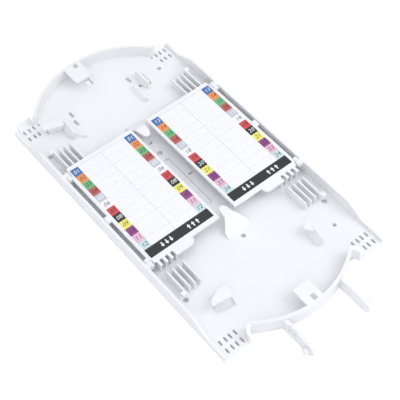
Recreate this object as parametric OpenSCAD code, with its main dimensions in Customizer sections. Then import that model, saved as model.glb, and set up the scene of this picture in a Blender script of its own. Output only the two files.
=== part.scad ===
// Fibre splice tray: one moulded base with two storage wells, rib combs and two hanging arms,
// and two hinged covers over the splice beds, each with a printed index label.
// +Y runs from the arms to the far end, +Z is up and z = 0 is the underside.

/* [Tray body] */
// Width over the side walls
tray_w = 100; // [96:1:120]
// Length over the four ears
tray_l = 167; // [165:1:180]
// Floor thickness
floor_t = 2; // [1.6:0.1:2.4]
// Side wall thickness
wall_t = 1.5; // [1.2:0.1:1.7]
// Height of the side and end walls
wall_h = 8.8; // [8.6:0.1:12]
// Height of the low lip beside each ear
lip_h = 3.8; // [3:0.1:5]
// Distance from the ear's end at which the side walls start to drop
wall_drop = 25.5; // [22:0.5:28]
// Distance from the ear's end at which the side walls reach the lip
wall_foot = 11; // [8:0.5:14]

/* [End walls] */
// How far the near end stands out beyond its ears
near_reach = 7; // [5:0.5:10]
// How far the far end stands out beyond its ears
far_reach = 16.5; // [14:0.5:20]
// Thickness of the curved walls
arc_t = 1.6; // [1.2:0.1:2]
// Inner radius of the curl
curl_r = 2.6; // [2:0.1:3]
// Wall thickness of the curl
curl_t = 2; // [1.5:0.1:2.2]
// Height of the curl where it ends at the ear's edge
curl_end_h = 6.6; // [5:0.1:8]

/* [Ears] */
// Width of each near ear
near_ear_w = 16.4; // [15:0.2:18]
// Width of each far ear
far_ear_w = 12.3; // [11:0.2:14]
// Width of each tie slot
slot_w = 1.1; // [0.8:0.1:1.4]
// Length of each tie slot
slot_l = 3; // [2:0.1:3.5]
// Height of the upturned lips beyond the far ears
ear_lip_h = 4.5; // [3:0.1:6]
// How far the upturned lips reach beyond the far ears
ear_lip_l = 3.3; // [2:0.1:5]

/* [Hanging arms] */
// Distance between the inner faces of the arms
arm_gap = 32.8; // [30:0.2:34]
// Thickness of each arm
arm_t = 2; // [1.6:0.1:2.6]
// Height of each arm
arm_h = 7.2; // [6.4:0.1:8]
// Distance from the near end's outermost point to the pins' axis
pin_reach = 12.9; // [10:0.2:18]
// Radius of each pin
pin_r = 1.6; // [1.2:0.1:2]
// Length of each pin beyond the arm
pin_l = 2.3; // [1.5:0.1:3]

/* [Ribs] */
// Distance from the side wall to the middle of the outermost rib
outer_channel = 5.7; // [5.2:0.1:6.5]
// Spacing of the ribs
rib_pitch = 3.2; // [3:0.1:3.3]
// Rib thickness
rib_t = 0.9; // [0.7:0.1:1.2]
// Number of ribs on each side
rib_n = 4; // [2:1:4]
// Height of the rib tops above the underside
rib_top = 7; // [6:0.1:7.2]

/* [Covers] */
// Distance from the middle line to the inner edge of each cover
cover_in = 4.9; // [4.5:0.1:6]
// Far edge of the covers
cover_far = 44; // [43.6:0.2:46]
// Near edge of the covers
cover_near = 26.4; // [26:0.2:27]
// Near edge of the stepped part of the covers
cover_tab = 30; // [29.8:0.2:31]
// Cover thickness
cover_t = 1.2; // [1:0.1:1.3]
// Gap between the rib tops and the closed covers
cover_rest = 0.1; // [0.05:0.05:0.2]

/* [Hinges] */
// Distance from the side wall to the hinge axes
hinge_inset = 1.7; // [1.65:0.05:2]
// Distance from the hinge axes to the outer edge of each cover
hinge_overlap = 0.7; // [0.5:0.1:0.9]
// Radius of each hinge pin
hinge_pin_r = 0.8; // [0.6:0.05:0.85]
// Running gap between pin and knuckle
hinge_gap = 0.05; // [0.02:0.01:0.08]
// Outer radius of the knuckles and cover arms
knuckle_r = 1.5; // [1.4:0.05:1.55]
// Length of each knuckle
knuckle_l = 3; // [2.5:0.1:3.4]
// Distance from the covers' far edge to the middle of the far knuckles
knuckle_inset = 4; // [3.6:0.2:6]
// Width of each cover arm
hinge_arm_w = 2; // [1.6:0.1:2.2]
// Play between the cover arms and the knuckles
hinge_play = 0.1; // [0.05:0.05:0.2]

/* [Labels] */
// Thickness of the label paper
label_t = 0.12; // [0.1:0.01:0.2]
// White margin of the label round its print
label_edge = 0.8; // [0.4:0.1:1]
// Thickness of the printed fields
print_t = 0.05; // [0.04:0.01:0.1]
// Distance from each cover's inner edge to the print
print_gap_in = 1.44; // [1.2:0.02:2]
// Distance from each cover's outer edge to the print
print_gap_out = 1.76; // [1.4:0.02:2.4]
// Distance from each cover's far and near edges to the print
print_gap_y = 2.45; // [2:0.05:3]
// Width of each colour cell
cell_w = 4.7; // [4:0.1:5]
// Length of the black bar
bar_l = 5.5; // [4:0.1:6]

/* [Hidden] */
$fn = 64;
LEFT = -1;
RIGHT = 1;
half_w = tray_w / 2;
half_l = tray_l / 2;
inner_w = half_w - wall_t;
wall_full_y = half_l - wall_drop;
wall_low_y = half_l - wall_foot;
curl_straight = 0.8;
ear_in_x = half_w - near_ear_w;
curl_x = ear_in_x - curl_r;
near_apex = half_l + near_reach;
far_apex = half_l + far_reach;
near_r = chord_radius(curl_x, near_reach + curl_r + curl_straight);
far_r = chord_radius(half_w - far_ear_w, far_reach);
near_cy = near_r - near_apex;
far_cy = far_apex - far_r;
curl_y = curl_straight - half_l;
far_meet_y = half_l - 2;
drop_steps = 8;
slot_x = [for (gap = [4.15, 7.2, 9.9, 12.9]) half_w - gap];
slot_y = [half_l - 7.9, half_l - 3];
far_slot_columns = 3;
ear_lip_x = [half_w - 11.4, half_w - 3];
ear_lip_t = 1.2;
arm_in = arm_gap / 2;
arm_root_y = near_apex - 5;
pin_y = near_apex + pin_reach;
arm_pocket = [0.7, 5.5, 3];
tip_r = arm_h / 2;
near_bank = [36.8 - half_l, -33.5];
far_bank = [-29.2, half_l - 25.7];
rib_x = [for (i = [0:rib_n - 1]) inner_w - outer_channel - i * rib_pitch];
catch_size = [2.7, 2.4, 1.2];
cover_z = rib_top + cover_rest;
hinge_z = cover_z + cover_t / 2;
hinge_x = inner_w - hinge_inset;
cover_out = hinge_x - hinge_overlap;
knuckle_far = cover_far - knuckle_inset;
knuckle_near = cover_near;
corner_x = hinge_x - knuckle_r - 0.4;
arm_near = -knuckle_near + knuckle_l / 2 + hinge_play;
arm_far = knuckle_far - knuckle_l / 2 - hinge_play;
hinge_bore_r = hinge_pin_r + hinge_gap;
step_in = rib_x[rib_n - 1] - 11.2;
step_corner_r = 3;
notch_w = 1.8;
notch_depth = 3.5;
lug_y = [4.5, 8.5];
lug_reach = 1.3;
label_z = cover_z + cover_t;
print_z = label_z + label_t;
print_in = cover_in + print_gap_in;
print_w = cover_out - print_gap_out - print_in;
print_far = cover_far - print_gap_y;
print_near = print_gap_y - cover_near;
print_rows = 12;
cell_l = (print_far - print_near - bar_l) / print_rows;
bar_far = print_near + bar_l;
tab_t = 1.2;
tab_top = 8;
guide_t = 1.2;
tongue_top = 7.8;
tongue_foot = 0.5;
tongue_tip_r = 2.1;
groove_depth = 1;
MOULDING = "#eceef2";
PAPER = "#f7f7f8";

// Radius of an arc over a half chord c that stands out by s.
function chord_radius(c, s) = (c * c + s * s) / (2 * s);

// --- helpers -------------------------------------------------------------------------------

// A box given by its low and high corners.
module span(low, high) {
    translate(low) cube(high - low);
}

// Draws what follows, and its mirror image on the other side of the middle line.
module both_sides() {
    children();
    mirror([1, 0, 0]) children();
}

// Draws what follows on one side: it is drawn for the right.
module on_side(side) {
    if (side == RIGHT) children();
    if (side == LEFT) mirror([1, 0, 0]) children();
}

// Extrudes an outline drawn in the Y-Z plane from x0 to x1.
module side_profile(x0, x1) {
    translate([x0, 0, 0]) rotate([90, 0, 90]) linear_extrude(height = x1 - x0) children();
}

// A cylinder lying along Y, between y0 and y1.
module rod_y(x, z, r, y0, y1) {
    translate([x, y1, z]) rotate([90, 0, 0]) cylinder(r = r, h = y1 - y0);
}

// A cylinder lying along X, between x0 and x1.
module rod_x(y, z, r, x0, x1) {
    translate([x0, y, z]) rotate([0, 90, 0]) cylinder(r = r, h = x1 - x0);
}

// An outline with round ends, long in Y.
module slot_outline(width, length, sides = 24) {
    reach = (length - width) / 2;
    translate([-width / 2, -reach]) square([width, 2 * reach]);
    translate([0, reach]) circle(d = width, $fn = sides);
    translate([0, -reach]) circle(d = width, $fn = sides);
}

// A slot with round ends through the floor, long in Y before it is turned.
module floor_slot(p, width, length, turn = 0, sides = 24) {
    translate([p[0], p[1], -1]) rotate([0, 0, turn])
        linear_extrude(height = floor_t + 2) slot_outline(width, length, sides);
}

// A round hole through the floor.
module floor_hole(p, r) {
    translate([p[0], p[1], -1]) cylinder(r = r, h = floor_t + 2, $fn = 32);
}

// A shallow hollow of the given outline in the top of the floor.
module floor_hollow(outline) {
    translate([0, 0, floor_t - groove_depth]) linear_extrude(height = groove_depth + 1)
        polygon(outline);
}

// A straight standing wall from p to q, rising from the floor to z1.
module fin(p, q, t, z1) {
    run = q - p;
    translate([p[0], p[1], floor_t - 0.5]) rotate([0, 0, atan2(run[1], run[0])])
        translate([0, -t / 2, 0]) cube([norm(run), t, z1 - floor_t + 0.5]);
}

// --- floor and walls -----------------------------------------------------------------------

// The disc that gives one curved end.
module end_disc(cy, r) {
    translate([0, cy]) circle(r = r, $fn = 180);
}

// Part of the near disc that stands out between the near ears.
module near_end_outline(r) {
    intersection() {
        end_disc(near_cy, r);
        translate([-curl_x, -near_apex]) square([2 * curl_x, near_apex - half_l + 8]);
    }
}

// Part of the far disc that stands out between the far ears.
module far_end_outline(r) {
    intersection() {
        end_disc(far_cy, r);
        translate([-half_w, far_meet_y]) square([tray_w, far_apex]);
    }
}

// The floor's rounded inner corner beside the right near ear.
module curl_corner_outline() {
    difference() {
        translate([curl_x, curl_y]) square([curl_r, curl_r]);
        translate([curl_x, curl_y]) circle(r = curl_r);
    }
}

module floor_outline() {
    difference() {
        translate([-half_w, -half_l]) square([tray_w, tray_l]);
        translate([-ear_in_x, -half_l - 1]) square([2 * ear_in_x, half_l + 1 + curl_y + curl_r]);
    }
    near_end_outline(near_r);
    far_end_outline(far_r);
    curl_corner_outline();
    mirror([1, 0]) curl_corner_outline();
}

// Top edge of a side wall, drawn for positive Y.
function drop_points(steps) = [for (i = [0:steps]) let (t = i / steps)
    [wall_full_y + (wall_low_y - wall_full_y) * t, wall_h + (lip_h - wall_h) * (1 - cos(180 * t)) / 2]];

module side_wall_outline() {
    translate([-wall_full_y, 0]) square([2 * wall_full_y, wall_h]);
    for (end = [0, 1]) mirror([end, 0]) polygon(concat(
        [[wall_full_y - 1, 0], [wall_full_y - 1, wall_h]], drop_points(drop_steps),
        [[half_l, lip_h], [half_l, 0]]));
}

module side_walls() {
    both_sides() side_profile(inner_w, half_w) side_wall_outline();
}

module end_walls() {
    linear_extrude(height = wall_h) difference() {
        near_end_outline(near_r);
        end_disc(near_cy, near_r - arc_t);
    }
    linear_extrude(height = wall_h) difference() {
        far_end_outline(far_r);
        end_disc(far_cy, far_r - arc_t);
    }
}

// The wall that curls round from the near end wall to the edge of an ear.
module ear_curls() {
    wall_y = curl_y + curl_r + curl_t;
    both_sides() intersection() {
        linear_extrude(height = wall_h) {
            difference() {
                translate([curl_x, curl_y]) circle(r = curl_r + curl_t);
                translate([curl_x, curl_y]) circle(r = curl_r);
            }
            translate([ear_in_x, -half_l]) square([curl_t, curl_y + half_l]);
        }
        union() {
            span([curl_x, curl_y, 0], [half_w, curl_y + 9, wall_h]);
            span([ear_in_x, -half_l, 0], [half_w, curl_y, wall_h]);
        }
        side_profile(curl_x, half_w)
            polygon([[-half_l, 0], [-half_l, curl_end_h], [wall_y, wall_h], [wall_y, 0]]);
    }
}

// Upturned lips that stand out beyond the far ears.
module ear_lips() {
    both_sides() side_profile(ear_lip_x[0], ear_lip_x[1]) polygon([
        [half_l - 2, 0], [half_l, 0],
        [half_l + ear_lip_l, ear_lip_h - ear_lip_t], [half_l + ear_lip_l - 0.7, ear_lip_h],
        [half_l - 0.6, floor_t], [half_l - 2, floor_t]]);
}

module ear_slot(x, y) {
    floor_slot([x, y], slot_w, slot_l, sides = 8);
}

// Tie slots through the ears.
module ear_slots() {
    both_sides() for (y = slot_y) {
        for (x = slot_x) ear_slot(x, -y);
        for (i = [0:far_slot_columns - 1]) ear_slot(slot_x[i], y);
    }
    both_sides() floor_hole([slot_x[far_slot_columns], slot_y[1]], slot_w / 2);
}

// --- arms ----------------------------------------------------------------------------------

// The right arm, with its pin pointing outward.
module arm() {
    difference() {
        union() {
            span([arm_in, -pin_y, 0], [arm_in + arm_t, -arm_root_y, arm_h]);
            rod_x(-pin_y, tip_r, tip_r, arm_in, arm_in + arm_t);
        }
        translate([arm_in + arm_t - arm_pocket[0], -arm_root_y - arm_pocket[1] - 5, arm_pocket[2]])
            cube([arm_t, arm_pocket[1], arm_h]);
    }
    rod_x(-pin_y, tip_r, pin_r, arm_in + arm_t / 2, arm_in + arm_t + pin_l);
}

// --- ribs ----------------------------------------------------------------------------------

module ribs() {
    both_sides() for (x = rib_x, bank = [near_bank, far_bank])
        span([x - rib_t / 2, bank[0], floor_t - 0.5], [x + rib_t / 2, bank[1], rib_top]);
}

// Small catches on the free ends of the outermost ribs, which hold fibres down.
module rib_catches() {
    x = rib_x[0] - rib_t / 2;
    both_sides() {
        translate([x, near_bank[0] - catch_size[1] + 0.5, rib_top - catch_size[2]])
            cube(catch_size);
        translate([x, far_bank[1] - 0.5, rib_top - catch_size[2]]) cube(catch_size);
    }
}

// --- fibre guides --------------------------------------------------------------------------

// A standing guide from p to q: upright on its right-hand side, bulging and sloping on its left.
module leaf(p, q, bulge, t, z1) {
    run = q - p;
    l = norm(run);
    h = z1 - floor_t + 0.5;
    r = chord_radius(l / 2, bulge);
    translate([p[0], p[1], floor_t - 0.5]) rotate([0, 0, atan2(run[1], run[0])]) intersection() {
        linear_extrude(height = h) {
            translate([0, -t]) square([l, t + 0.01]);
            intersection() {
                square([l, bulge]);
                translate([l / 2, bulge - r]) circle(r = r, $fn = 60);
            }
        }
        rotate([90, 0, 90]) linear_extrude(height = l)
            polygon([[-t, 0], [bulge, 0], [bulge, 0.5], [0.01, h], [-t, h]]);
    }
}

// A flat tab of the given outline that overhangs the well.
module guide_tab(outline, z1) {
    translate([0, 0, z1 - tab_t]) linear_extrude(height = tab_t) polygon(outline);
}

module near_left_guide() {
    translate([-half_w, -half_l, 0]) {
        guide_tab([[11.4, 22.3], [21.9, 20.4], [23.3, 24], [22.8, 27.3], [18.5, 27.2], [13, 24.9]],
            tab_top);
        fin([13.4, 24.6], [22.4, 24.6], guide_t, tab_top - tab_t / 2);
    }
}

module near_right_guide() {
    translate([half_w, -half_l, 0]) {
        leaf([-25.3, 16.8], [-23.1, 29.3], 2.8, 1.1, tab_top);
        guide_tab([[-24.9, 22.6], [-22.8, 29.3], [-28.2, 27.1]], tab_top);
    }
}

module far_left_guide() {
    translate([-half_w, half_l, 0]) {
        guide_tab([[10.7, -11.8], [20.3, -15.4], [21.7, -11.7], [12.1, -8.1]], tab_top);
        fin([13.8, -10.7], [21, -13.4], guide_t, tab_top - tab_t / 2);
        leaf([22, -22.6], [22.6, -12.6], 2.3, 0.9, tab_top - 1);
        leaf([27.6, -25.4], [23, -19.5], 1.2, 1, floor_t + 1.6);
    }
}

module far_right_guide() {
    translate([half_w, half_l, 0]) {
        leaf([-27.9, -19.2], [-27.9, -8.2], 1.2, 1.3, tab_top - 1.5);
        leaf([-34, -26], [-33.6, -14], 2.6, 1, floor_t + 2.4);
    }
}

// Tabs level with the top of the end walls, reaching over the wells.
module end_tabs() {
    span([-5.5, 1 - near_apex, wall_h - tab_t], [4.2, 12 - near_apex, wall_h]);
    span([-8, far_apex - 13.5, wall_h - tab_t], [2, far_apex - 1.4, wall_h]);
}

module end_tab_notches() {
    span([-1.2, arc_t + 0.2 - near_apex, floor_t + 2], [1.2, 5 - near_apex, wall_h + 1]);
    span([-2.7, far_apex - 4.8, floor_t + 2], [-0.3, far_apex - arc_t - 0.3, wall_h + 1]);
}

// --- tongues over the middle channel -------------------------------------------------------

// A tongue whose outline starts at tip, rounded there, and whose root ramps down into the floor.
module tongue(tip, flat, foot, outline) {
    way = foot > tip ? 1 : -1;
    intersection() {
        linear_extrude(height = tongue_top) {
            polygon(outline);
            translate([0, tip + way * tongue_tip_r]) circle(r = tongue_tip_r, $fn = 32);
        }
        side_profile(-12, 12) polygon([
            [tip - way, tongue_top - tab_t], [tip - way, tongue_top], [flat, tongue_top],
            [foot, floor_t], [foot, floor_t - tongue_foot], [foot - way * 2.2, floor_t - tongue_foot],
            [flat - way * 0.4, tongue_top - tab_t]]);
    }
}

module far_tongue() {
    tongue(35.2, 42, 50, [
        [-2.1, 37], [-3.1, 41.5], [-3.6, 46], [-4.6, 51], [4.6, 51], [3.6, 46], [3.1, 41.5], [2.1, 37]]);
}

// The near tongue widens toward its root.
module near_tongue() {
    tongue(-21.5, -28.6, -36.2, [
        [-2.1, -23.6], [-2.7, -27.4], [-4.6, -30.2], [-6.9, -33], [-7.1, -37], [7.1, -37],
        [6.9, -33], [4.6, -30.2], [2.7, -27.4], [2.1, -23.6]]);
}

// --- holes and hollows in the floor --------------------------------------------------------

module floor_openings() {
    both_sides() {
        floor_hole([rib_x[0] + 1, near_bank[0] - 1.9], 1.4);
        floor_hole([rib_x[0] + 1.2, far_bank[1] + 1.6], 1.4);
    }
    floor_hole([0, 26.3], 1.4);
    floor_hole([0, -38.6], 1.2);
    floor_slot([0.2, 34.3], 1, 2.5, 90);
    floor_slot([4, 6.5], 0.8, 3, 90);
    translate([-half_w, -half_l, 0]) floor_hollow([[12.5, 21], [15, 19.6], [22.6, 18.4], [23.6, 23.6],
        [13, 23.6]]);
    translate([half_w, -half_l, 0]) floor_hole([-12, 21.5], 1);
    translate([-half_w, half_l, 0]) {
        floor_slot([30, -8.1], 1.7, 4.2);
        floor_slot([28.8, -14.1], 1.9, 4.4);
        span([13.4, -11.2, -1], [18.8, -9, floor_t + 1]);
    }
    translate([half_w, half_l, 0]) {
        floor_hole([-29.9, -15], 0.9);
        floor_hole([-14.5, -11.5], 1.2);
        floor_slot([-32.3, -7.8], 1.8, 4.4);
        floor_slot([-24.8, -12.6], 1.9, 9.6);
    }
    span([-1, far_apex - 14, -1], [2, far_apex - 9, floor_t + 1]);
}

// The long shallow groove along the middle channel.
module channel_groove() {
    translate([0, 3.5, floor_t - groove_depth]) linear_extrude(height = groove_depth + 1)
        slot_outline(3, 36);
}

// --- hinges --------------------------------------------------------------------------------

module knuckle(y) {
    difference() {
        union() {
            rod_y(hinge_x, hinge_z, knuckle_r, y - knuckle_l / 2, y + knuckle_l / 2);
            span([hinge_x, y - knuckle_l / 2, hinge_z - knuckle_r],
                [inner_w + 0.5, y + knuckle_l / 2, wall_h]);
        }
        rod_y(hinge_x, hinge_z, hinge_bore_r, y - knuckle_l, y + knuckle_l);
    }
}

module knuckles() {
    both_sides() {
        knuckle(knuckle_far);
        knuckle(-knuckle_near);
    }
}

module tray_base() {
    color(MOULDING) {
        difference() {
            union() {
                linear_extrude(height = floor_t) floor_outline();
                side_walls();
                end_walls();
                ear_curls();
                ear_lips();
                both_sides() arm();
                ribs();
                rib_catches();
                near_left_guide();
                near_right_guide();
                far_left_guide();
                far_right_guide();
                end_tabs();
                far_tongue();
                near_tongue();
            }
            ear_slots();
            floor_openings();
            channel_groove();
            end_tab_notches();
        }
        knuckles();
    }
}

// --- covers --------------------------------------------------------------------------------

// Outline of the right cover.
module cover_outline() {
    difference() {
        union() {
            translate([cover_in, -cover_near]) square([cover_out - cover_in, cover_near + cover_far]);
            translate([step_in + step_corner_r, -cover_tab])
                square([corner_x - step_in - step_corner_r, cover_tab - cover_near + 1]);
            translate([step_in, -cover_tab + step_corner_r])
                square([step_corner_r, cover_tab - cover_near - step_corner_r + 1]);
            translate([step_in + step_corner_r, -cover_tab + step_corner_r]) circle(r = step_corner_r);
        }
        translate([corner_x, arm_far]) square([5, cover_far]);
        translate([corner_x, arm_near - cover_tab]) square([5, cover_tab]);
        for (x = rib_x) translate([x + rib_pitch / 2, -cover_tab])
            slot_outline(notch_w, 2 * notch_depth);
    }
}

// One hinge arm with its pin, which points along dir into the knuckle.
module hinge_arm(face, dir) {
    back = face - dir * hinge_arm_w;
    tip = face + dir * (knuckle_l + hinge_play);
    rod_y(hinge_x, hinge_z, knuckle_r, min(face, back), max(face, back));
    rod_y(hinge_x, hinge_z, hinge_pin_r, min(back, tip), max(back, tip));
}

module cover(side) {
    color(MOULDING) on_side(side) {
        translate([0, 0, cover_z]) linear_extrude(height = cover_t) cover_outline();
        hinge_arm(arm_near, -1);
        hinge_arm(arm_far, 1);
        span([cover_out - 1, lug_y[0], cover_z], [hinge_x + lug_reach, lug_y[1], cover_z + cover_t]);
    }
}

// --- labels --------------------------------------------------------------------------------

// A flat field on the right side, x measured out from the inner edge of the print.
module field(x0, x1, y0, y1, z, t) {
    span([print_in + x0, y0, z], [print_in + x1, y1, z + t]);
}

module label(side) {
    color(PAPER) on_side(side)
        field(-label_edge, print_w + label_edge, bar_far - bar_l - label_edge, print_far + label_edge,
            label_z, label_t);
}

module title_bar(side) {
    color("#101012") on_side(side) field(0, print_w, bar_far - bar_l, bar_far, print_z, print_t);
}

// The two cells of one colour: one in the inner column and one in the outer.
module cells(side, row, paint) {
    y1 = print_far - row * cell_l;
    color(paint) on_side(side) for (x = [0, print_w - cell_w])
        field(x, x + cell_w, y1 - cell_l, y1, print_z, print_t);
}

tray_base();
cover(LEFT);  // left_cover
label(LEFT);  // left_label
title_bar(LEFT);  // left_title_bar
cells(LEFT, 0, "#2a5ba8");  // left_blue
cells(LEFT, 1, "#e0622c");  // left_orange
cells(LEFT, 2, "#3f9a5c");  // left_green
cells(LEFT, 3, "#a8442e");  // left_brown
cells(LEFT, 4, "#8e9499");  // left_slate
cells(LEFT, 5, "#fbfbfb");  // left_white
cells(LEFT, 6, "#d3242c");  // left_red
cells(LEFT, 7, "#161618");  // left_black
cells(LEFT, 8, "#f0d22e");  // left_yellow
cells(LEFT, 9, "#6a1f5c");  // left_violet
cells(LEFT, 10, "#dca0bd");  // left_rose
cells(LEFT, 11, "#a5d2d2");  // left_aqua
cover(RIGHT);  // right_cover
label(RIGHT);  // right_label
title_bar(RIGHT);  // right_title_bar
cells(RIGHT, 0, "#2a5ba8");  // right_blue
cells(RIGHT, 1, "#e0622c");  // right_orange
cells(RIGHT, 2, "#3f9a5c");  // right_green
cells(RIGHT, 3, "#a8442e");  // right_brown
cells(RIGHT, 4, "#8e9499");  // right_slate
cells(RIGHT, 5, "#fbfbfb");  // right_white
cells(RIGHT, 6, "#d3242c");  // right_red
cells(RIGHT, 7, "#161618");  // right_black
cells(RIGHT, 8, "#f0d22e");  // right_yellow
cells(RIGHT, 9, "#6a1f5c");  // right_violet
cells(RIGHT, 10, "#dca0bd");  // right_rose
cells(RIGHT, 11, "#a5d2d2");  // right_aqua
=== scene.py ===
"""Looks of the fibre splice tray: white plastic, printed index labels, lights and camera.

Lengths are in metres and +Z is up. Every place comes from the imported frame.
"""

import math

import bmesh
import bpy
from mathutils import Matrix, Vector


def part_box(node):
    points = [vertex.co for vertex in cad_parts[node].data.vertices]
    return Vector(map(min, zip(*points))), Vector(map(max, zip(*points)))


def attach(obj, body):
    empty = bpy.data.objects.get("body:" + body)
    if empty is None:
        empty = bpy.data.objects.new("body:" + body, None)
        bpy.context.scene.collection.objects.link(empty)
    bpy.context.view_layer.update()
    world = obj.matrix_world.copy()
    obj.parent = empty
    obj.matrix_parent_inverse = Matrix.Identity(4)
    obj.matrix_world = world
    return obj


MM = 0.001

# Camera: it stands off the near left corner and looks down on the tray.
LENS = 93.62
CAMERA_TURN = -39.52
CAMERA_RISE = 54.80
CAMERA_REACH = 514.1 * MM
TARGET = Vector((-1.94, -8.15, 0)) * MM

SIDES = ("left", "right")
FIRST_NUMBERS = (1, 13)

# Label colours as linear RGB, in the order of the rows from the far end.
INK = {
    "blue": (0.06, 0.17, 0.42),
    "orange": (0.82, 0.29, 0.10),
    "green": (0.15, 0.46, 0.21),
    "brown": (0.48, 0.11, 0.10),
    "slate": (0.56, 0.58, 0.66),
    "white": (0.86, 0.87, 0.88),
    "red": (0.62, 0.07, 0.085),
    "black": (0.022, 0.022, 0.026),
    "yellow": (0.84, 0.78, 0.18),
    "violet": (0.27, 0.06, 0.23),
    "rose": (0.76, 0.49, 0.62),
    "aqua": (0.57, 0.71, 0.74),
}
PALE_DIGITS = ("blue", "slate", "black")  # cells with white digits
ROWS = tuple(INK)

# Plastic and paper.
TRAY_WHITE = (0.845, 0.85, 0.865)
COVER_WHITE = (0.85, 0.855, 0.87)
PAPER_WHITE = (0.88, 0.885, 0.90)
RULE_GREY = (0.55, 0.56, 0.60)
TRAY_EDGE = 0.22 * MM
COVER_EDGE = 0.18 * MM
SCATTER_WEIGHT = 0.4
SCATTER_RADIUS = (0.005, 0.005, 0.0055)

# Label print.
CELL_WIDTH = 4.7 * MM
DIGIT_HEIGHT = 3.3 * MM
DIGIT_SLANT = 0.22
DIGIT_THINNING = 0.004  # share of the digits' height
DIGIT_HALF_DEPTH = 0.006 * MM
DIGIT_LIFT = 0.004 * MM
RULE_WIDTH = 0.16 * MM
RULE_DEPTH = 0.02 * MM
DASH = 1.1 * MM
DASH_PITCH = 1.7  # in dashes
ARROW_WIDTH = 1.9 * MM
ARROW_HEIGHT = 2.9 * MM
ARROW_STEM = 0.36  # share of the arrow's width
ARROW_STEP = 2.6 * MM
ARROW_LIFT = 0.01 * MM
ARROW_GROUPS = ((0.3, -1), (0.72, 1))  # place along the bar, direction along Y

# Stage.
FLOOR_GREY = (0.86, 0.87, 0.88)
FLOOR_DROP = 0.02 * MM
FLOOR_GLOW = 0.33
# Painted shade: the floor's glow is cut off over this patch under the tray, so the ground seen
# through the tray's openings looks shaded.
PAINTED_SHADE_GROUND = (("X", 48 * MM), ("Y", 81 * MM))  # half sizes of the ground without glow
AMBIENT_COLOUR = (0.955, 0.965, 1.0)
AMBIENT_STRENGTH = 0.83
LIGHT_REACH = 0.9

# Soft lights: name, direction from the tray, size, power and colour.
LIGHTS = (
    ("key", (0.774, -0.633, 1.05), 0.55, 2.2, (1.0, 0.985, 0.965)),
    ("top", (-0.1, 0.25, 1.0), 0.7, 0.9, (0.96, 0.98, 1.0)),
    ("fill", (-0.62, -0.75, 0.62), 0.8, 1.3, (0.98, 0.99, 1.0)),
)


# --- materials ---------------------------------------------------------------------------------


def new_material(name):
    """An empty node material with its output, shader and object coordinates."""
    material = bpy.data.materials.new(name)
    material.use_nodes = True
    nodes = material.node_tree.nodes
    nodes.clear()
    output = nodes.new("ShaderNodeOutputMaterial")
    shader = nodes.new("ShaderNodeBsdfPrincipled")
    place = nodes.new("ShaderNodeTexCoord")
    material.node_tree.links.new(shader.outputs["BSDF"], output.inputs["Surface"])
    return material, shader, place


def noise(material, place, scale, detail=3.0):
    """A noise texture over the object, with scale in features per metre."""
    node = material.node_tree.nodes.new("ShaderNodeTexNoise")
    node.inputs["Scale"].default_value = scale
    node.inputs["Detail"].default_value = detail
    material.node_tree.links.new(place.outputs["Object"], node.inputs["Vector"])
    return node


def tint(material, shader, source, low, high):
    """Runs the base colour between low and high with the noise."""
    ramp = material.node_tree.nodes.new("ShaderNodeValToRGB")
    ramp.color_ramp.elements[0].position = 0.3
    ramp.color_ramp.elements[1].position = 0.7
    ramp.color_ramp.elements[0].color = (*low, 1)
    ramp.color_ramp.elements[1].color = (*high, 1)
    links = material.node_tree.links
    links.new(source.outputs["Fac"], ramp.inputs["Fac"])
    links.new(ramp.outputs["Color"], shader.inputs["Base Color"])


def roughen(material, shader, source, low, high):
    """Runs the roughness between low and high with the noise."""
    span = material.node_tree.nodes.new("ShaderNodeMapRange")
    span.inputs["From Min"].default_value = 0.3
    span.inputs["From Max"].default_value = 0.7
    span.inputs["To Min"].default_value = low
    span.inputs["To Max"].default_value = high
    links = material.node_tree.links
    links.new(source.outputs["Fac"], span.inputs["Value"])
    links.new(span.outputs["Result"], shader.inputs["Roughness"])


def emboss(material, shader, source, depth, edge=0.0):
    """Bumps the surface with the noise, over edges rounded by the radius edge."""
    nodes = material.node_tree.nodes
    links = material.node_tree.links
    bump = nodes.new("ShaderNodeBump")
    bump.inputs["Distance"].default_value = depth
    links.new(source.outputs["Fac"], bump.inputs["Height"])
    if edge:
        bevel = nodes.new("ShaderNodeBevel")
        bevel.samples = 6
        bevel.inputs["Radius"].default_value = edge
        links.new(bevel.outputs["Normal"], bump.inputs["Normal"])
    links.new(bump.outputs["Normal"], shader.inputs["Normal"])


def moulded_plastic(name, colour, edge):
    """White moulded plastic: a fine spark-eroded grain, faint flow marks and soft edges."""
    material, shader, place = new_material(name)
    flow = noise(material, place, 22.0, 4.0)
    grain = noise(material, place, 2600.0, 2.0)
    shade = tuple(c * 0.972 for c in colour)
    tint(material, shader, flow, shade, colour)
    roughen(material, shader, grain, 0.34, 0.48)
    emboss(material, shader, grain, 0.00001, edge)
    shader.inputs["IOR"].default_value = 1.49
    shader.inputs["Subsurface Weight"].default_value = SCATTER_WEIGHT
    shader.inputs["Subsurface Radius"].default_value = SCATTER_RADIUS
    return material


def printed(name, colour, gloss=0.42):
    """Printed or bare label stock: a fine paper tooth and slightly uneven ink."""
    material, shader, place = new_material(name)
    blotch = noise(material, place, 900.0, 4.0)
    tooth = noise(material, place, 6000.0, 2.0)
    tint(material, shader, blotch, tuple(c * 0.93 for c in colour), colour)
    roughen(material, shader, blotch, gloss - 0.05, gloss + 0.07)
    emboss(material, shader, tooth, 0.000004)
    return material


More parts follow.
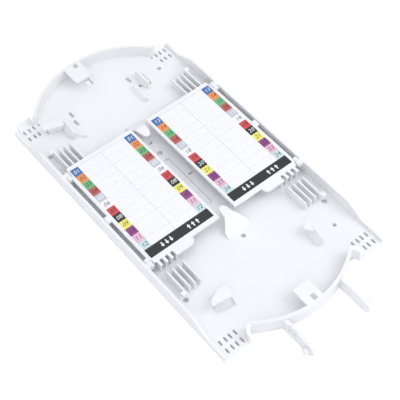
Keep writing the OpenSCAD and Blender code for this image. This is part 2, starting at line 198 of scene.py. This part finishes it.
def glow_with_painted_shade(nodes, links):
    """The floor's glow, with painted shade: no glow on the ground that the tray covers, so its
    openings look shaded.
    """
    place = nodes.new("ShaderNodeTexCoord")
    axes = nodes.new("ShaderNodeSeparateXYZ")
    links.new(place.outputs["Object"], axes.inputs[0])
    tests = []
    for axis, reach in PAINTED_SHADE_GROUND:
        size = nodes.new("ShaderNodeMath")
        size.operation = "ABSOLUTE"
        links.new(axes.outputs[axis], size.inputs[0])
        beyond = nodes.new("ShaderNodeMath")
        beyond.operation = "GREATER_THAN"
        beyond.inputs[1].default_value = reach
        links.new(size.outputs[0], beyond.inputs[0])
        tests.append(beyond)
    either = nodes.new("ShaderNodeMath")
    either.operation = "MAXIMUM"
    links.new(tests[0].outputs[0], either.inputs[0])
    links.new(tests[1].outputs[0], either.inputs[1])
    strength = nodes.new("ShaderNodeMath")
    strength.operation = "MULTIPLY"
    strength.inputs[1].default_value = FLOOR_GLOW
    links.new(either.outputs[0], strength.inputs[0])
    return strength.outputs[0]


def stage_floor_material():
    """A pale floor that shows white to the camera and keeps a soft shadow, with painted shade on
    the ground under the tray.
    """
    material = bpy.data.materials.new("pale_floor")
    material.use_nodes = True
    nodes = material.node_tree.nodes
    links = material.node_tree.links
    nodes.clear()
    output = nodes.new("ShaderNodeOutputMaterial")
    diffuse = nodes.new("ShaderNodeBsdfDiffuse")
    glow = nodes.new("ShaderNodeEmission")
    both = nodes.new("ShaderNodeAddShader")
    path = nodes.new("ShaderNodeLightPath")
    seen = nodes.new("ShaderNodeMath")
    pick = nodes.new("ShaderNodeMixShader")
    diffuse.inputs["Color"].default_value = (*FLOOR_GREY, 1)
    seen.operation = "MAXIMUM"
    links.new(path.outputs["Is Camera Ray"], seen.inputs[0])
    links.new(path.outputs["Is Glossy Ray"], seen.inputs[1])
    # The glow leaves out the ground under the tray: painted shade seen through the tray's
    # openings.
    links.new(glow_with_painted_shade(nodes, links), glow.inputs["Strength"])
    links.new(diffuse.outputs[0], both.inputs[0])
    links.new(glow.outputs[0], both.inputs[1])
    links.new(seen.outputs[0], pick.inputs[0])
    links.new(diffuse.outputs[0], pick.inputs[1])
    links.new(both.outputs[0], pick.inputs[2])
    links.new(pick.outputs[0], output.inputs["Surface"])
    return material


def paint_nodes(materials):
    """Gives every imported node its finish."""
    for name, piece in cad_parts.items():
        side, _, rest = name.partition("_")
        if name == "tray_base":
            finish = materials["tray"]
        elif rest == "cover":
            finish = materials["cover"]
        elif rest == "label":
            finish = materials["paper"]
        elif rest == "title_bar":
            finish = materials["black"]
        else:
            finish = materials[rest]
        piece.data.materials.clear()
        piece.data.materials.append(finish)


# --- label print -------------------------------------------------------------------------------


def add_piece(name, shape, material, body):
    """Turns a bmesh into a piece that rides on a body."""
    mesh = bpy.data.meshes.new(name)
    shape.to_mesh(mesh)
    shape.free()
    piece = bpy.data.objects.new(name, mesh)
    bpy.context.scene.collection.objects.link(piece)
    mesh.materials.append(material)
    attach(piece, body)
    return piece


def add_bar(shape, x0, x1, y0, y1, z0, z1):
    """Adds a box to the bmesh."""
    size = Matrix.Diagonal((x1 - x0, y1 - y0, z1 - z0, 1))
    middle = Matrix.Translation(((x0 + x1) / 2, (y0 + y1) / 2, (z0 + z1) / 2))
    bmesh.ops.create_cube(shape, size=1, matrix=middle @ size)


def glyphs(words, height):
    """A word as a thin mesh, centred on the origin in the X-Y plane."""
    curve = bpy.data.curves.new("glyphs", "FONT")
    curve.body = words
    curve.size = height
    curve.align_x = "CENTER"
    curve.align_y = "CENTER"
    curve.shear = DIGIT_SLANT
    curve.offset = -height * DIGIT_THINNING
    curve.extrude = DIGIT_HALF_DEPTH
    curve.resolution_u = 3
    holder = bpy.data.objects.new("glyphs", curve)
    bpy.context.scene.collection.objects.link(holder)
    graph = bpy.context.evaluated_depsgraph_get()
    mesh = bpy.data.meshes.new_from_object(holder.evaluated_get(graph))
    bpy.data.objects.remove(holder)
    bpy.data.curves.remove(curve)
    return mesh


def cell_digits(side, first, materials):
    """The numbers of one label: one in each colour cell, in both columns."""
    shapes = {"white": bmesh.new(), "black": bmesh.new()}
    for row, ink in enumerate(ROWS):
        low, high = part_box(f"{side}_{ink}")
        mesh = glyphs(f"{first + row:02d}", DIGIT_HEIGHT)
        middle_y = (low.y + high.y) / 2
        for middle_x in (low.x + CELL_WIDTH / 2, high.x - CELL_WIDTH / 2):
            copy = mesh.copy()
            copy.transform(Matrix.Translation((middle_x, middle_y, high.z + DIGIT_LIFT)))
            shapes["white" if ink in PALE_DIGITS else "black"].from_mesh(copy)
            bpy.data.meshes.remove(copy)
        bpy.data.meshes.remove(mesh)
    for tone, shape in shapes.items():
        finish = materials["paper" if tone == "white" else "black"]
        add_piece(f"{side}_{tone}_digits", shape, finish, f"{side}_cover")


def rule_lines(side, materials):
    """Printed rules: a far line, a middle line and dashes under each row but the last."""
    shape = bmesh.new()
    low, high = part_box(f"{side}_blue")
    bar_low, bar_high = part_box(f"{side}_title_bar")
    x0, x1 = low.x, high.x
    y0, y1 = bar_high.y, high.y
    z0, z1 = low.z, low.z + RULE_DEPTH
    add_bar(shape, x0 + CELL_WIDTH, x1 - CELL_WIDTH, y1 - RULE_WIDTH, y1, z0, z1)
    middle = (x0 + x1) / 2
    add_bar(shape, middle - RULE_WIDTH / 2, middle + RULE_WIDTH / 2, y0, y1, z0, z1)
    for ink in ROWS[:-1]:
        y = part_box(f"{side}_{ink}")[0].y
        x = x0 + CELL_WIDTH + DASH / 2
        while x + DASH < x1 - CELL_WIDTH:
            add_bar(shape, x, x + DASH, y - RULE_WIDTH / 3, y + RULE_WIDTH / 3, z0, z1)
            x += DASH_PITCH * DASH
    add_piece(f"{side}_rules", shape, materials["rule"], f"{side}_cover")


def arrow(shape, x, y, z, direction):
    """Adds a flat arrow that points along +Y or -Y."""
    width, height = ARROW_WIDTH, ARROW_HEIGHT
    stem = width * ARROW_STEM
    outline = [
        (0, height / 2),
        (width / 2, 0),
        (stem / 2, 0),
        (stem / 2, -height / 2),
        (-stem / 2, -height / 2),
        (-stem / 2, 0),
        (-width / 2, 0),
    ]
    points = [shape.verts.new((x + px, y + direction * py, z)) for px, py in outline]
    shape.faces.new(points if direction > 0 else points[::-1])


def title_arrows(side, materials):
    """Plain up and down arrows on the black bar of one label."""
    shape = bmesh.new()
    low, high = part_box(f"{side}_title_bar")
    y = (low.y + high.y) / 2
    width = high.x - low.x
    z = high.z + ARROW_LIFT
    for part, direction in ARROW_GROUPS:
        x = low.x + part * width
        for step in (-ARROW_STEP, 0, ARROW_STEP):
            arrow(shape, x + step, y, z, direction)
    bmesh.ops.recalc_face_normals(shape, faces=shape.faces)
    add_piece(f"{side}_arrows", shape, materials["paper"], f"{side}_cover")


# --- stage -------------------------------------------------------------------------------------


def add_floor():
    """A wide pale floor just below the tray."""
    bpy.ops.mesh.primitive_plane_add(size=6, location=(0, 0, -FLOOR_DROP))
    floor = bpy.context.object
    floor.name = "floor"
    floor.data.materials.append(stage_floor_material())


def add_softbox(name, direction, size, power, colour):
    """A square area light that looks at the tray from the given direction."""
    light = bpy.data.lights.new(name, "AREA")
    light.shape = "SQUARE"
    light.size = size
    light.energy = power
    light.color = colour
    holder = bpy.data.objects.new(name, light)
    bpy.context.scene.collection.objects.link(holder)
    away = Vector(direction).normalized()
    holder.location = away * LIGHT_REACH
    holder.rotation_mode = "QUATERNION"
    holder.rotation_quaternion = (-away).to_track_quat("-Z", "Y")


def add_world():
    """Even pale surroundings, plain white where the camera sees them."""
    world = bpy.data.worlds.new("surroundings")
    bpy.context.scene.world = world
    world.use_nodes = True
    nodes = world.node_tree.nodes
    links = world.node_tree.links
    nodes.clear()
    output = nodes.new("ShaderNodeOutputWorld")
    ambient = nodes.new("ShaderNodeBackground")
    white = nodes.new("ShaderNodeBackground")
    path = nodes.new("ShaderNodeLightPath")
    pick = nodes.new("ShaderNodeMixShader")
    ambient.inputs["Color"].default_value = (*AMBIENT_COLOUR, 1)
    ambient.inputs["Strength"].default_value = AMBIENT_STRENGTH
    white.inputs["Strength"].default_value = 1.0
    white.inputs["Color"].default_value = (1, 1, 1, 1)
    links.new(path.outputs["Is Camera Ray"], pick.inputs[0])
    links.new(ambient.outputs[0], pick.inputs[1])
    links.new(white.outputs[0], pick.inputs[2])
    links.new(pick.outputs[0], output.inputs["Surface"])


def add_camera():
    """The camera, turned about the tray by CAMERA_TURN and raised by CAMERA_RISE."""
    turn = math.radians(CAMERA_TURN)
    rise = math.radians(CAMERA_RISE)
    away = math.cos(rise)
    back = Vector((math.sin(turn) * away, -math.cos(turn) * away, math.sin(rise)))
    data = bpy.data.cameras.new("camera")
    data.lens = LENS
    data.sensor_width = 36
    camera = bpy.data.objects.new("camera", data)
    bpy.context.scene.collection.objects.link(camera)
    camera.location = TARGET + back * CAMERA_REACH
    camera.rotation_mode = "QUATERNION"
    camera.rotation_quaternion = (-back).to_track_quat("-Z", "Y")
    bpy.context.scene.camera = camera


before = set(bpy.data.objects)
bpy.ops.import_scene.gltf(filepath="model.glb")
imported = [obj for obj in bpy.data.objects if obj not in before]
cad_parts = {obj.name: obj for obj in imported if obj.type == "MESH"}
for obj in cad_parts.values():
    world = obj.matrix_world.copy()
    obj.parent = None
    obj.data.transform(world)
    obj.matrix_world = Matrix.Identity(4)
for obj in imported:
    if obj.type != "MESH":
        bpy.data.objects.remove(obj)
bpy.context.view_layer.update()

finishes = {name: printed(f"ink_{name}", colour) for name, colour in INK.items()}
finishes["tray"] = moulded_plastic("tray_plastic", TRAY_WHITE, TRAY_EDGE)
finishes["cover"] = moulded_plastic("cover_plastic", COVER_WHITE, COVER_EDGE)
finishes["paper"] = printed("label_paper", PAPER_WHITE)
finishes["rule"] = printed("rule_grey", RULE_GREY)
paint_nodes(finishes)

for label, first_number in zip(SIDES, FIRST_NUMBERS):
    cell_digits(label, first_number, finishes)
    rule_lines(label, finishes)
    title_arrows(label, finishes)

add_floor()
for light in LIGHTS:
    add_softbox(*light)
add_world()
add_camera()
bpy.context.scene.view_settings.view_transform = "Standard"
